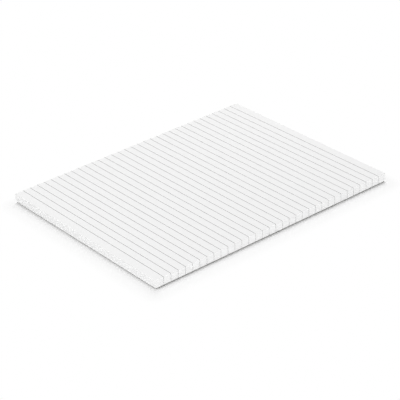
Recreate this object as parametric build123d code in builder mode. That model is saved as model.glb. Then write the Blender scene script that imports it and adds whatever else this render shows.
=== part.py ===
from build123d import *

import math
import os

# A ruled writing pad: a block of paper sheets gummed along its head edge on a chipboard back.
# Millimetres. +X runs across the page, +Y up the page towards its gummed head, +Z up.
# The origin is the middle of the pad's underside.

# Sheets of writing paper
SHEET_WIDTH = 203.2
SHEET_LENGTH = 254.0
SHEET_COUNT = 70
SHEET_THICKNESS = 0.104

# Ruling, printed off both long edges of every sheet
FOOT_MARGIN = 8.6  # foot edge to the middle of the first rule
HEAD_MARGIN = 7.5  # least distance from the middle of the last rule to the head edge
RULE_PITCH = 7.42
RULE_WIDTH = 0.35
INK_DEPTH = 0.05  # how far the ink soaks into the paper

# Chipboard back, cut before it is gummed and knocked up level with the sheets at the head
BOARD_THICKNESS = 1.5
BOARD_INSET = 0.9  # how far the sheets overhang it at the foot and both long edges
BOARD_EDGE_RADIUS = 0.15  # the three free lower edges, worn round

# Padding glue, a skin brushed over the head edges of the sheets and the board
GLUE_THICKNESS = 0.3
GLUE_EDGE_RADIUS = 0.15  # all round its outer face, where it has drawn back as it dried

# Worked out from the sizes above
BLOCK_HEIGHT = SHEET_COUNT * SHEET_THICKNESS
BOARD_WIDTH = SHEET_WIDTH - 2 * BOARD_INSET
BOARD_LENGTH = SHEET_LENGTH - BOARD_INSET
HEAD_Y = (SHEET_LENGTH - GLUE_THICKNESS) / 2
FOOT_Y = HEAD_Y - SHEET_LENGTH
RULE_COUNT = math.floor((SHEET_LENGTH - FOOT_MARGIN - HEAD_MARGIN) / RULE_PITCH) + 1
FIRST_RULE_Y = FOOT_Y + FOOT_MARGIN
RULE_PLANES = [Plane.XZ.offset(-FIRST_RULE_Y - RULE_PITCH * rule) for rule in range(RULE_COUNT)]

STANDING = (Align.CENTER, Align.MIN)
UP_TO_THE_HEAD = (Align.CENTER, Align.MAX, Align.MIN)

# Ruling: each rule crosses the top sheet and runs down both long edges of the block
with BuildPart() as ruling:
    with BuildSketch(*RULE_PLANES):
        with Locations((0, BOARD_THICKNESS)):
            Rectangle(SHEET_WIDTH, BLOCK_HEIGHT, align=STANDING)
            Rectangle(
                SHEET_WIDTH - 2 * INK_DEPTH,
                BLOCK_HEIGHT - INK_DEPTH,
                align=STANDING,
                mode=Mode.SUBTRACT,
            )
    extrude(amount=RULE_WIDTH / 2, both=True)
ruling.part.label = "ruling"

# Sheets: one trimmed block, less the inked strips that the ruling fills
with BuildPart() as sheet_block:
    with Locations((0, HEAD_Y, BOARD_THICKNESS)):
        Box(SHEET_WIDTH, SHEET_LENGTH, BLOCK_HEIGHT, align=UP_TO_THE_HEAD)
    add(ruling.part, mode=Mode.SUBTRACT)
sheet_block.part.label = "sheet_block"

# Back: a board a little smaller than the sheets, its lower edges rounded but for the head's
with BuildPart() as backing_board:
    with Locations((0, HEAD_Y)):
        Box(BOARD_WIDTH, BOARD_LENGTH, BOARD_THICKNESS, align=UP_TO_THE_HEAD)
    underside_edges = backing_board.faces().sort_by(Axis.Z)[0].edges().sort_by(Axis.Y)
    fillet(underside_edges[:-1], radius=min(BOARD_EDGE_RADIUS, 0.8 * BOARD_THICKNESS))
backing_board.part.label = "backing_board"

# Glue: a skin over the heads of the sheets and the board, its outer face rounded off all round
with BuildPart() as padding_glue:
    with BuildSketch(Plane.XZ.offset(-HEAD_Y)):
        Rectangle(BOARD_WIDTH, BOARD_THICKNESS, align=STANDING)
        with Locations((0, BOARD_THICKNESS)):
            Rectangle(SHEET_WIDTH, BLOCK_HEIGHT, align=STANDING)
    extrude(amount=-GLUE_THICKNESS)
    outer_edges = padding_glue.faces().sort_by(Axis.Y)[-1].edges()
    fillet(outer_edges, radius=min(GLUE_EDGE_RADIUS, 0.8 * GLUE_THICKNESS))
padding_glue.part.label = "padding_glue"

os.makedirs("parts", exist_ok=True)
export_step(ruling.part, "parts/ruling.step")
export_step(sheet_block.part, "parts/sheet_block.step")
export_step(backing_board.part, "parts/backing_board.step")
export_step(padding_glue.part, "parts/padding_glue.step")
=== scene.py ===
import math
import random

import bpy
from mathutils import Matrix, Vector, noise


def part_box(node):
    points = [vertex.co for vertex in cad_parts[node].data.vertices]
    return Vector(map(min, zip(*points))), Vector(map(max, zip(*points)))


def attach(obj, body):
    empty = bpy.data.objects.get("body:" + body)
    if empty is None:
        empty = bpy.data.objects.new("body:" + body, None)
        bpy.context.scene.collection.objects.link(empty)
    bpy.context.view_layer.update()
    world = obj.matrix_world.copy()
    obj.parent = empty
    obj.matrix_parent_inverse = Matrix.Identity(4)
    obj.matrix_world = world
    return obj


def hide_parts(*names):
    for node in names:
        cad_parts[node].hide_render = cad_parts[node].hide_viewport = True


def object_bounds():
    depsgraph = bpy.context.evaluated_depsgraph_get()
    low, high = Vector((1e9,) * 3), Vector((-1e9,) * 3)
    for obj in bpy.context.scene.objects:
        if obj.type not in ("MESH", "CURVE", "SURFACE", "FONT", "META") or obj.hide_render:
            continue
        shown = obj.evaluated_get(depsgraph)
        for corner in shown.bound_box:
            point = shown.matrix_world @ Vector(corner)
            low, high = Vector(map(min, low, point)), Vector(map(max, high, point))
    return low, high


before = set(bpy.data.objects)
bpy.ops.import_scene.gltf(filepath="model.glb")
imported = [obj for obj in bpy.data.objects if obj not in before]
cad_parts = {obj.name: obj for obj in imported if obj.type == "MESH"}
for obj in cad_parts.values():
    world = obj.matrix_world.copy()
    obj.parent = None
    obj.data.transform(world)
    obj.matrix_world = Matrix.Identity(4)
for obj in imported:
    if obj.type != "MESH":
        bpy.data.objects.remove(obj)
cad_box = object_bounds()

# Everything is in metres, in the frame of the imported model: +X across the page,
# +Y up the page towards its gummed head, +Z up, the pad lying on z = 0.

MM = 0.001

# Sheets
SHEET_COUNT = 70
SHORT_SIDE_STEPS = 24  # steps along the foot and the head of each sheet
TRIM_WOBBLE = 0.012 * MM  # how far a sheet's edge strays from the trimmed face
SLOW_WAVES = (18, 0.9, 13.7)  # per metre of a side, from sheet to sheet and from side to side
QUICK_WAVES = (140, 5.3, 7.1)
WOBBLE_SHARES = (0.5, 0.5, 0.35)  # of the wobble: steady, in slow waves and in quick ones
EDGE_ROUND = 0.008 * MM  # how far a sheet's upper and lower arrises draw back
FLAT_SHARE = (0.22, 0.78)  # part of a sheet's thickness over which its edge is flat

# Ruling
RULE_COUNT = 33
RULE_WIDTH = 0.35 * MM
INK_PROUD = 0.012 * MM
INK_SUNK = 0.02 * MM
MARK_SHARE = (0.58, 0.94)  # part of a sheet's thickness that its ink marks at the edge
REGISTER_ERROR = 0.03 * MM  # how far one sheet's rules lie from the next one's
REGISTER_DRIFT = 0.39 * MM  # how much nearer to the foot the rules of the bottom sheet lie
REGISTER_SEED = 33

# Padding glue
GLUE_STEPS_ACROSS = 230
GLUE_STEPS_UP = 22
GLUE_STEPS_LEDGE = 2  # across each ledge, where the sheets overhang the board
GLUE_STEPS_BOARD = 5  # up the board's thickness
GLUE_BORDER = 0.18 * MM  # width of the rounded border
BORDER_SHARES = (0.15, 0.4, 0.7)  # places of the closer grid lines within that border
GLUE_RIM = 0.25  # how thick the glue is at its rim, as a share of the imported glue
GLUE_SWELL = 0.55  # how much thicker it is inside the border, as a share of the same
GLUE_RIPPLE = 0.05 * MM
FINE_RIPPLE_SHARE = 0.5
BROAD_RIPPLES = (60, 900, 3.1)  # per metre along and up the head edge, then a place in the noise
FINE_RIPPLES = (260, 2100, 9.7)

# Camera, fitted to the corners and the rules of the pad in the photograph
VIEW_AZIMUTH = math.radians(53.141)
VIEW_ELEVATION = math.radians(28.749)
VIEW_ROLL = math.radians(-4.047)
VIEW_CENTRE = (23.56 * MM, -18.43 * MM)  # where the middle of the view meets the top sheet
VIEW_DISTANCE = 1424.25 * MM
LENS = 148.79  # millimetres

# Floor
FLOOR_SIZE = 6.0
FLOOR_DROP = 0.01 * MM

# Shadow on the floor as it is seen: near the pad a light painted shade, a glow of fixed grey,
# takes part of its place, and further out it gives way to plain white
PAINTED_SHADE = 0.91  # brightness of the painted shade, where plain white is 1
PAINTED_SHADE_SHARE = 0.6  # how much of the real shadow the painted shade takes the place of
PAINTED_SHADE_REACH = (0.7 * MM, 2.7 * MM)  # outside the pad's outline, where the painted shade comes in
WHITE_REACH = (2 * MM, 16 * MM)  # outside the leaning outline, where plain white comes in
WHITE_LEAN = (4 * MM, -3 * MM, 0)  # how far that outline lies towards the front, so the shadow and the painted shade reach further out at the front

# Lights: an even sky and round soft boxes aimed at the pad
SKY = 0.4
LAMP_DISTANCE = 0.9
LAMP_SIZE = 0.5
LAMPS = {  # azimuth from +X towards +Y and elevation in degrees, then power in watts
    "lamp_front": (337, 15, 1.88),
    "lamp_foot": (270, 35, 2.33),
    "lamp_right": (45, 15, 1.34),
    "lamp_behind": (135, 60, 3.36),
}

page_low, page_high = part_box("sheet_block")
ruling_low, ruling_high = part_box("ruling")
board_low, board_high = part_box("backing_board")
glue_low, glue_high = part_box("padding_glue")

SHEET_THICKNESS = (page_high.z - page_low.z) / SHEET_COUNT
RULE_PITCH = (ruling_high.y - ruling_low.y - RULE_WIDTH) / (RULE_COUNT - 1)
RULES = [ruling_low.y + RULE_WIDTH / 2 + RULE_PITCH * i for i in range(RULE_COUNT)]


def add_camera():
    centre = Vector((*VIEW_CENTRE, page_high.z))
    turn = (
        Matrix.Rotation(VIEW_AZIMUTH, 4, "Z")
        @ Matrix.Rotation(math.pi / 2 - VIEW_ELEVATION, 4, "X")
        @ Matrix.Rotation(VIEW_ROLL, 4, "Z")
    )
    back_off = Matrix.Translation((0, 0, VIEW_DISTANCE))
    camera = bpy.data.objects.new("camera", bpy.data.cameras.new("camera"))
    camera.data.lens = LENS
    camera.matrix_world = Matrix.Translation(centre) @ turn @ back_off
    bpy.context.scene.collection.objects.link(camera)
    bpy.context.scene.camera = camera


def new_material(name, colour, roughness, specular):
    """A material with its node tree and its main shader."""
    material = bpy.data.materials.new(name)
    material.use_nodes = True
    shader = material.node_tree.nodes["Principled BSDF"]
    shader.inputs["Base Color"].default_value = (*colour, 1)
    shader.inputs["Roughness"].default_value = roughness
    shader.inputs["Specular IOR Level"].default_value = specular
    return material, material.node_tree, shader


def add_noise(tree, scale, detail, roughness=0.5, stretch=(1, 1, 1)):
    """Noise over the model's own coordinates, stretched by a factor along each axis."""
    place = tree.nodes.new("ShaderNodeTexCoord")
    mapping = tree.nodes.new("ShaderNodeMapping")
    mapping.inputs["Scale"].default_value = stretch
    texture = tree.nodes.new("ShaderNodeTexNoise")
    texture.inputs["Scale"].default_value = scale
    texture.inputs["Detail"].default_value = detail
    texture.inputs["Roughness"].default_value = roughness
    tree.links.new(place.outputs["Object"], mapping.inputs["Vector"])
    tree.links.new(mapping.outputs["Vector"], texture.inputs["Vector"])
    return texture.outputs["Fac"]


def add_ramp(tree, value, stops):
    """A colour ramp over a value, from (position, colour) stops."""
    ramp = tree.nodes.new("ShaderNodeValToRGB")
    elements = ramp.color_ramp.elements
    while len(elements) < len(stops):
        elements.new(0.5)
    for element, (position, colour) in zip(elements, stops):
        element.position = position
        element.color = (*colour, 1)
    tree.links.new(value, ramp.inputs["Fac"])
    return ramp.outputs["Color"]


def multiply_colours(tree, first, second):
    """Two colours multiplied."""
    mix = tree.nodes.new("ShaderNodeMix")
    mix.data_type = "RGBA"
    mix.blend_type = "MULTIPLY"
    mix.inputs["Factor"].default_value = 1.0
    tree.links.new(first, mix.inputs["A"])
    tree.links.new(second, mix.inputs["B"])
    return mix.outputs["Result"]


def add_bump(tree, shader, height, distance, strength):
    bump = tree.nodes.new("ShaderNodeBump")
    bump.inputs["Distance"].default_value = distance
    bump.inputs["Strength"].default_value = strength
    tree.links.new(height, bump.inputs["Height"])
    tree.links.new(bump.outputs["Normal"], shader.inputs["Normal"])


def grey(level):
    return (level, level, level)


def paper_material():
    """Smooth white writing paper: cloudy formation, fine fibres and a little tooth."""
    material, tree, shader = new_material("paper", grey(0.9), roughness=0.85, specular=0.25)
    clouds = add_noise(tree, scale=260, detail=3)
    fibres = add_noise(tree, scale=2200, detail=2, stretch=(1, 3.5, 1))
    tone = add_ramp(tree, clouds, [(0.3, grey(0.893)), (0.7, grey(0.909))])
    fleck = add_ramp(tree, fibres, [(0.3, grey(0.985)), (0.6, grey(1.0))])
    tree.links.new(multiply_colours(tree, tone, fleck), shader.inputs["Base Color"])
    tooth = add_noise(tree, scale=3500, detail=3)
    add_bump(tree, shader, tooth, distance=0.01 * MM, strength=0.6)
    return material


def paper_edge_material():
    """The trimmed edges of the sheets, each a little lighter or darker than the next."""
    material, tree, shader = new_material("paper_edge", grey(0.88), roughness=0.9, specular=0.2)
    sheets = add_noise(tree, scale=7000, detail=1, stretch=(0.01, 0.01, 1))
    fibres = add_noise(tree, scale=4000, detail=2)
    tone = add_ramp(tree, sheets, [(0.35, grey(0.86)), (0.65, grey(0.9))])
    fleck = add_ramp(tree, fibres, [(0.35, grey(0.98)), (0.6, grey(1.0))])
    tree.links.new(multiply_colours(tree, tone, fleck), shader.inputs["Base Color"])
    add_bump(tree, shader, fibres, distance=0.01 * MM, strength=0.6)
    return material


def ink_material():
    """Thin grey ink, a little broken where it lies over the paper's fibres."""
    material, tree, shader = new_material("ink", grey(0.13), roughness=0.7, specular=0.3)
    cover = add_noise(tree, scale=5200, detail=2)
    tone = add_ramp(tree, cover, [(0.3, grey(0.09)), (0.55, grey(0.125)), (0.75, grey(0.2))])
    tree.links.new(tone, shader.inputs["Base Color"])
    return material


def chipboard_material():
    """Grey chipboard of pulped waste paper, with light and dark fibres in it."""
    material, tree, shader = new_material("chipboard", grey(0.27), roughness=0.92, specular=0.2)
    pulp = add_noise(tree, scale=420, detail=4, roughness=0.6)
    fibres = add_noise(tree, scale=1500, detail=3, stretch=(1, 4, 1))
    tone = add_ramp(tree, pulp, [(0.3, (0.237, 0.235, 0.229)), (0.7, (0.303, 0.301, 0.294))])
    flecks = [(0.28, grey(0.72)), (0.4, grey(1.0)), (0.66, grey(1.0)), (0.74, grey(1.25))]
    fleck = add_ramp(tree, fibres, flecks)
    tree.links.new(multiply_colours(tree, tone, fleck), shader.inputs["Base Color"])
    add_bump(tree, shader, fibres, distance=0.03 * MM, strength=0.7)
    return material


def glue_material():
    """Dried white padding glue: satin, and a little thinner between the brush strokes."""
    material, tree, shader = new_material("glue", grey(0.84), roughness=0.42, specular=0.5)
    strokes = add_noise(tree, scale=2600, detail=3, stretch=(0.06, 1, 1))
    tone = add_ramp(tree, strokes, [(0.3, (0.8, 0.8, 0.785)), (0.65, (0.86, 0.86, 0.855))])
    tree.links.new(tone, shader.inputs["Base Color"])
    add_bump(tree, shader, strokes, distance=0.04 * MM, strength=0.5)
    return material


def add_piece(name, node, points, faces, materials, face_materials=None):
    """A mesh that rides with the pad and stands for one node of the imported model."""
    mesh = bpy.data.meshes.new(name)
    mesh.from_pydata(points, [], faces)
    for material in materials:
        mesh.materials.append(material)
    if face_materials:
        mesh.polygons.foreach_set("material_index", face_materials)
    piece = bpy.data.objects.new(name, mesh)
    bpy.context.scene.collection.objects.link(piece)
    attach(piece, "root")
    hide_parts(node)
    return piece


def wave(place, frequencies):
    """Smooth noise at a place, with its own frequency along each axis."""
    return noise.noise(Vector([at * often for at, often in zip(place, frequencies)]))


def wobble(sheet, side, along):
    """How far the edge of one sheet lies inside the trimmed face, at a place along a side."""
    steady, slow, quick = WOBBLE_SHARES
    place = (along, sheet, side)
    share = steady + slow * wave(place, SLOW_WAVES) + quick * wave(place, QUICK_WAVES)
    return TRIM_WOBBLE * share


def sheet_outline(sheet, draw_back):
    """The corners of one sheet's outline, anticlockwise from the left-hand foot corner."""
    width = page_high.x - page_low.x
    across = [page_low.x + width * i / SHORT_SIDE_STEPS for i in range(1, SHORT_SIDE_STEPS)]

    def foot(x):
        return page_low.y + wobble(sheet, 0, x) + draw_back

    def right(y):
        return page_high.x - wobble(sheet, 1, y) - draw_back

    def head(x):
        return page_high.y - wobble(sheet, 2, x) - draw_back

    def left(y):
        return page_low.x + wobble(sheet, 3, y) + draw_back

    corners = [(left(page_low.y), foot(page_low.x))]
    corners += [(x, foot(x)) for x in across]
    corners += [(right(page_low.y), foot(page_high.x))]
    corners += [(right(y), y) for y in RULES]
    corners += [(right(page_high.y), head(page_high.x))]
    corners += [(x, head(x)) for x in reversed(across)]
    corners += [(left(page_high.y), head(page_low.x))]
    corners += [(left(y), y) for y in reversed(RULES)]
    return corners


def build_page_stack():
    """Every sheet of the block, one on another, each with its own slightly rounded edge."""
    points, faces, rings = [], [], []

    def add_ring(outline, z):
        start = len(points)
        points.extend((x, y, z) for x, y in outline)
        rings.append(range(start, len(points)))

    for sheet in range(SHEET_COUNT):
        base = page_low.z + sheet * SHEET_THICKNESS
        add_ring(sheet_outline(sheet, EDGE_ROUND), base)
        for share in FLAT_SHARE:
            add_ring(sheet_outline(sheet, 0), base + share * SHEET_THICKNESS)
    add_ring(sheet_outline(SHEET_COUNT - 1, EDGE_ROUND), page_high.z)

    for lower, upper in zip(rings, rings[1:]):
        count = len(lower)
        for i in range(count):
            j = (i + 1) % count
            faces.append((lower[i], lower[j], upper[j], upper[i]))
    faces.append(tuple(reversed(rings[0])))
    faces.append(tuple(rings[-1]))

    materials = [paper_material(), paper_edge_material()]
    page, edge = range(len(materials))
    face_materials = [edge] * (len(faces) - 1) + [page]
    add_piece("page_stack", "sheet_block", points, faces, materials, face_materials)


def add_block(points, faces, low, high):
    """A small closed block between two corners."""
    start = len(points)
    xs, ys, zs = zip(low, high)
    points.extend((x, y, z) for z in zs for y in ys for x in xs)
    sides = ((0, 2, 3, 1), (4, 5, 7, 6), (0, 1, 5, 4), (2, 6, 7, 3), (0, 4, 6, 2), (1, 3, 7, 5))
    faces.extend(tuple(start + corner for corner in side) for side in sides)


def build_ruled_lines():
    """The rules: a strip across the top sheet, and each sheet's ink at its two long edges."""
    shuffle = random.Random(REGISTER_SEED)
    points, faces = [], []
    half = RULE_WIDTH / 2
    for y in RULES:
        add_block(
            points,
            faces,
            (page_low.x - INK_PROUD, y - half, page_high.z - INK_SUNK),
            (page_high.x + INK_PROUD, y + half, page_high.z + INK_PROUD),
        )
    for sheet in range(SHEET_COUNT):
        base = page_low.z + sheet * SHEET_THICKNESS
        depth = 1 - sheet / (SHEET_COUNT - 1)
        shift = shuffle.gauss(0, REGISTER_ERROR) - REGISTER_DRIFT * depth
        low_z, high_z = (base + share * SHEET_THICKNESS for share in MARK_SHARE)
        for y in RULES:
            low_y, high_y = y + shift - half, y + shift + half
            add_block(
                points,
                faces,
                (page_low.x - INK_PROUD, low_y, low_z),
                (page_low.x + TRIM_WOBBLE + INK_SUNK, high_y, high_z),
            )
            add_block(
                points,
                faces,
                (page_high.x - TRIM_WOBBLE - INK_SUNK, low_y, low_z),
                (page_high.x + INK_PROUD, high_y, high_z),
            )
    add_piece("ruled_lines", "ruling", points, faces, [ink_material()])


def spread(low, high, steps):
    """Grid lines from low to high: even steps, and closer lines along both borders."""
    close = [GLUE_BORDER * share for share in BORDER_SHARES]
    inner_low, inner_high = low + GLUE_BORDER, high - GLUE_BORDER
    lines = [low]
    lines += [low + step for step in close]
    lines += [inner_low + (inner_high - inner_low) * i / steps for i in range(steps + 1)]
    lines += [high - step for step in reversed(close)]
    return lines + [high]


def border_distance(x, z):
    """How far a place on the glue lies from its border, which steps in beside the board."""
    x = abs(x)
    inside_top = glue_high.z - z
    if z >= page_low.z and x > board_high.x:
        return min(glue_high.x - x, z - page_low.z, inside_top)
    if z < page_low.z:
        return min(board_high.x - x, z - glue_low.z)
    corner = math.hypot(board_high.x - x, z - page_low.z)
    return min(glue_high.x - x, z - glue_low.z, inside_top, corner)


def glue_height(x, z):
    """How far the glue stands off the head edge at a place: rounded at its border, and rippled."""
    depth = glue_high.y - glue_low.y
    share = min(max(border_distance(x, z) / GLUE_BORDER, 0), 1)
    swell = math.sqrt(1 - (1 - share) ** 2)
    ripple = wave((x, z, 1), BROAD_RIPPLES) + FINE_RIPPLE_SHARE * wave((x, z, 1), FINE_RIPPLES)
    return depth * (GLUE_RIM + GLUE_SWELL * swell) + GLUE_RIPPLE * ripple * swell


def rim_of(faces):
    """The corners round an open sheet of faces, in the order in which its faces pass them."""
    edges = dict.fromkeys(
        (first, face[(i + 1) % len(face)]) for face in faces for i, first in enumerate(face)
    )
    following = {first: second for first, second in edges if (second, first) not in edges}
    rim = [next(iter(following))]
    while following[rim[-1]] != rim[0]:
        rim.append(following[rim[-1]])
    return rim


def build_glue_skin():
    """The glue over the heads of the sheets and the board, brushed along them."""
    ledge_lines = spread(glue_low.x, board_low.x, GLUE_STEPS_LEDGE)
    across = ledge_lines + spread(board_low.x, board_high.x, GLUE_STEPS_ACROSS)[1:]
    across += spread(board_high.x, glue_high.x, GLUE_STEPS_LEDGE)[1:]
    board_lines = spread(glue_low.z, page_low.z, GLUE_STEPS_BOARD)
    up = board_lines + spread(page_low.z, glue_high.z, GLUE_STEPS_UP)[1:]

    places, points, faces = {}, [], []

    def corner(column, row):
        if (column, row) not in places:
            x, z = across[column], up[row]
            places[column, row] = len(points)
            points.append((x, glue_low.y + glue_height(x, z), z))
        return places[column, row]

    for row in range(len(up) - 1):
        beside_board = row < len(board_lines) - 1
        margin = len(ledge_lines) - 1 if beside_board else 0
        for column in range(margin, len(across) - 1 - margin):
            corners = ((column, row), (column, row + 1), (column + 1, row + 1), (column + 1, row))
            faces.append(tuple(corner(*place) for place in corners))

    rim = rim_of(faces)
    back = range(len(points), len(points) + len(rim))
    points += [(points[i][0], glue_low.y, points[i][2]) for i in rim]
    for i in range(len(rim)):
        j = (i + 1) % len(rim)
        faces.append((rim[j], rim[i], back[i], back[j]))
    faces.append(tuple(reversed(back)))
    skin = add_piece("glue_skin", "padding_glue", points, faces, [glue_material()])
    skin.data.polygons.foreach_set("use_smooth", [True] * len(faces))


def dress_backing_board():
    """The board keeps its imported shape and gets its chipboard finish."""
    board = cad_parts["backing_board"]
    board.data.materials.clear()
    board.data.materials.append(chipboard_material())


def backdrop_rays(tree):
    """One for the rays that show the backdrop, straight or in a reflection, and else nought."""
    path = tree.nodes.new("ShaderNodeLightPath")
    seen = path.outputs["Is Camera Ray"]
    for ray in ("Is Glossy Ray", "Is Transmission Ray"):
        either = tree.nodes.new("ShaderNodeMath")
        either.operation = "MAXIMUM"
        tree.links.new(seen, either.inputs[0])
        tree.links.new(path.outputs[ray], either.inputs[1])
        seen = either.outputs[0]
    return seen


def add_vector_step(tree, operation, vector, other=None):
    """One step of vector arithmetic, and its node."""
    step = tree.nodes.new("ShaderNodeVectorMath")
    step.operation = operation
    tree.links.new(vector, step.inputs[0])
    if other is not None:
        step.inputs[1].default_value = other
    return step


def outline_distance(tree, lean=(0, 0, 0)):
    """How far a place on the floor lies outside the pad's outline, moved by a lean.

    The pad is centred on the origin, so one corner stands for all four. Its height of 1 m keeps
    heights out of the distance.
    """
    place = tree.nodes.new("ShaderNodeTexCoord")
    moved = add_vector_step(tree, "SUBTRACT", place.outputs["Object"], lean)
    folded = add_vector_step(tree, "ABSOLUTE", moved.outputs[0])
    corner = (cad_box[1][0], cad_box[1][1], 1)
    outside = add_vector_step(tree, "SUBTRACT", folded.outputs[0], corner)
    outside = add_vector_step(tree, "MAXIMUM", outside.outputs[0], (0, 0, 0))
    return add_vector_step(tree, "LENGTH", outside.outputs[0]).outputs["Value"]


def add_fade(tree, distance, reach, share):
    """A smooth rise from nought to a share over a reach of distances."""
    fade = tree.nodes.new("ShaderNodeMapRange")
    fade.interpolation_type = "SMOOTHSTEP"
    fade.inputs["From Min"].default_value = reach[0]
    fade.inputs["From Max"].default_value = reach[1]
    fade.inputs["To Max"].default_value = share
    tree.links.new(distance, fade.inputs["Value"])
    return fade.outputs["Result"]


def add_backdrop_layer(tree, below, light, amount):
    """A shader with an amount of plain light over it, for the rays that show the backdrop."""
    seen = tree.nodes.new("ShaderNodeMath")
    seen.operation = "MULTIPLY"
    tree.links.new(amount, seen.inputs[0])
    tree.links.new(backdrop_rays(tree), seen.inputs[1])
    plain = tree.nodes.new("ShaderNodeEmission")
    plain.inputs["Strength"].default_value = light
    mix = tree.nodes.new("ShaderNodeMixShader")
    tree.links.new(seen.outputs[0], mix.inputs[0])
    tree.links.new(below, mix.inputs[1])
    tree.links.new(plain.outputs[0], mix.inputs[2])
    return mix.outputs[0]


def floor_material():
    """White that takes the pad's shadow, with a painted shade of fixed grey over part of it near
    the pad, and plain white further out.
    """
    material, tree, shader = new_material("floor", grey(1.0), roughness=1.0, specular=0.0)
    # Painted shade: near the pad the floor is seen partly as a glow of fixed grey instead of its
    # real shadow
    painted_shade_amount = add_fade(tree, outline_distance(tree), PAINTED_SHADE_REACH, PAINTED_SHADE_SHARE)
    with_painted_shade = add_backdrop_layer(tree, shader.outputs[0], PAINTED_SHADE, painted_shade_amount)
    far = add_fade(tree, outline_distance(tree, WHITE_LEAN), WHITE_REACH, 1.0)
    white = add_backdrop_layer(tree, with_painted_shade, 1.0, far)
    tree.links.new(white, tree.nodes["Material Output"].inputs["Surface"])
    return material


def build_floor():
    half = FLOOR_SIZE / 2
    mesh = bpy.data.meshes.new("floor")
    corners = [(-half, -half), (half, -half), (half, half), (-half, half)]
    mesh.from_pydata([(x, y, -FLOOR_DROP) for x, y in corners], [], [(0, 1, 2, 3)])
    mesh.materials.append(floor_material())
    floor = bpy.data.objects.new("floor", mesh)
    bpy.context.scene.collection.objects.link(floor)


def build_sky():
    """An even white sky, dimmer as a light than as a backdrop."""
    world = bpy.data.worlds.new("sky")
    world.use_nodes = True
    tree = world.node_tree
    background = tree.nodes["Background"]
    background.inputs["Color"].default_value = (1, 1, 1, 1)
    strength = tree.nodes.new("ShaderNodeMapRange")
    strength.inputs["To Min"].default_value = SKY
    strength.inputs["To Max"].default_value = 1.0
    tree.links.new(backdrop_rays(tree), strength.inputs["Value"])
    tree.links.new(strength.outputs["Result"], background.inputs["Strength"])
    bpy.context.scene.world = world


def build_lamps():
    for name, (azimuth, elevation, power) in LAMPS.items():
        turn, rise = math.radians(azimuth), math.radians(elevation)
        level = math.cos(rise)
        direction = Vector((math.cos(turn) * level, math.sin(turn) * level, math.sin(rise)))
        data = bpy.data.lights.new(name, "AREA")
        data.shape = "DISK"
        data.size = LAMP_SIZE
        data.energy = power
        lamp = bpy.data.objects.new(name, data)
        lamp.location = direction * LAMP_DISTANCE
        lamp.rotation_euler = (-direction).to_track_quat("-Z", "Y").to_euler()
        lamp.visible_camera = False
        bpy.context.scene.collection.objects.link(lamp)


bpy.context.scene.view_settings.view_transform = "Standard"
add_camera()
build_floor()
build_sky()
build_lamps()
build_page_stack()
build_ruled_lines()
build_glue_skin()
dress_backing_board()
